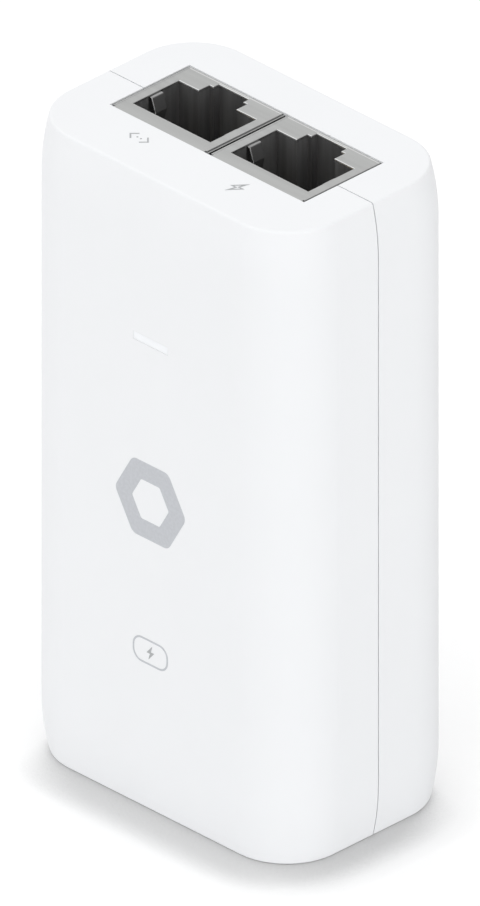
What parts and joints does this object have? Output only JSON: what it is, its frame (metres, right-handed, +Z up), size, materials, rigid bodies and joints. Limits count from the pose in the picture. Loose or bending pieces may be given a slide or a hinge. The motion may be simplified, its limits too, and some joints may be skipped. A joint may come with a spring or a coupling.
{
  "type": "power-over-ethernet injector",
  "caption": "White tapered power-over-Ethernet injector with modular jacks in its top, a light bar on its front and a mains inlet in its base.",
  "frame": {"origin": "centre of the base", "axes": "+Z up towards the jacks, -Y out of the marked front face, +X towards the powered jack"},
  "size_m": [0.0466, 0.0308, 0.087],
  "materials": {
    "white_case": "satin",
    "lamp": "satin",
    "label": "satin",
    "nickel_shield": "satin",
    "spring_strip": "polished",
    "black_insert": "satin",
    "gold_contact": "polished",
    "plated_brass": "satin",
    "board": "satin",
    "barrier_film": "satin",
    "black_case": "matte",
    "blue_coating": "gloss",
    "yellow_case": "satin",
    "yellow_tape": "satin",
    "ferrite": "matte",
    "copper": "gloss",
    "capacitor_sleeve": "gloss",
    "aluminium": "satin",
    "steel": "satin",
    "printed_ink": "matte"
  },
  "bodies": {
    "case": {"front_cover": "white_case", "rear_cover": "white_case", "light_pipe": "lamp", "rating_label": "label", "inlet_housing": "black_insert", "line_pin": "plated_brass", "neutral_pin": "plated_brass", "earth_pin": "plated_brass", "data_port_shield": "nickel_shield", "data_port_housing": "black_insert", "data_port_contact_tails": "gold_contact", "poe_port_shield": "nickel_shield", "poe_port_housing": "black_insert", "poe_port_contact_tails": "gold_contact", "main_board": "board", "insulation_sheet": "barrier_film", "fuse": "black_case", "varistor": "blue_coating", "x_capacitor": "yellow_case", "choke_core": "ferrite", "choke_line_winding": "copper", "choke_neutral_winding": "copper", "bridge_rectifier": "black_case", "bulk_capacitor": "capacitor_sleeve", "switching_transistor": "black_case", "heat_sink": "aluminium", "heat_sink_screw": "steel", "optocoupler": "black_case", "y_capacitor": "blue_coating", "transformer_core_left": "ferrite", "transformer_core_right": "ferrite", "transformer_bobbin": "black_case", "transformer_winding": "copper", "transformer_tape": "yellow_tape", "output_diode": "black_case", "output_capacitors": "capacitor_sleeve", "output_choke_core": "ferrite", "output_choke_winding": "copper", "lan_transformers": "black_case", "power_controller": "black_case", "status_led": "lamp"},
    "data_port_contact_springs": {"data_port_contacts": "gold_contact"},
    "data_port_left_earth_spring": {"data_port_left_finger": "spring_strip"},
    "data_port_right_earth_spring": {"data_port_right_finger": "spring_strip"},
    "poe_port_contact_springs": {"poe_port_contacts": "gold_contact"},
    "poe_port_left_earth_spring": {"poe_port_left_finger": "spring_strip"},
    "poe_port_right_earth_spring": {"poe_port_right_finger": "spring_strip"}
  },
  "joints": [
    {"name": "data_port_contact_press", "type": "hinge", "parent": "case", "child": "data_port_contact_springs", "pos_m": [-0.00828, -0.00435, 0.08375], "axis": [-1, 0, 0], "range_deg": [0, 12], "stiffness_Nm_per_rad": 0.2},
    {"name": "data_port_left_finger_press", "type": "hinge", "parent": "case", "child": "data_port_left_earth_spring", "pos_m": [-0.01468, 0.0005, 0.08657], "axis": [0, 1, 0], "range_deg": [0, 11], "stiffness_Nm_per_rad": 0.02},
    {"name": "data_port_right_finger_press", "type": "hinge", "parent": "case", "child": "data_port_right_earth_spring", "pos_m": [-0.00187, 0.0005, 0.08657], "axis": [0, -1, 0], "range_deg": [0, 11], "stiffness_Nm_per_rad": 0.02},
    {"name": "poe_port_contact_press", "type": "hinge", "parent": "case", "child": "poe_port_contact_springs", "pos_m": [0.00828, -0.00435, 0.08375], "axis": [-1, 0, 0], "range_deg": [0, 12], "stiffness_Nm_per_rad": 0.2},
    {"name": "poe_port_left_finger_press", "type": "hinge", "parent": "case", "child": "poe_port_left_earth_spring", "pos_m": [0.00187, 0.0005, 0.08657], "axis": [0, 1, 0], "range_deg": [0, 11], "stiffness_Nm_per_rad": 0.02},
    {"name": "poe_port_right_finger_press", "type": "hinge", "parent": "case", "child": "poe_port_right_earth_spring", "pos_m": [0.01468, 0.0005, 0.08657], "axis": [0, -1, 0], "range_deg": [0, 11], "stiffness_Nm_per_rad": 0.02}
  ]
}
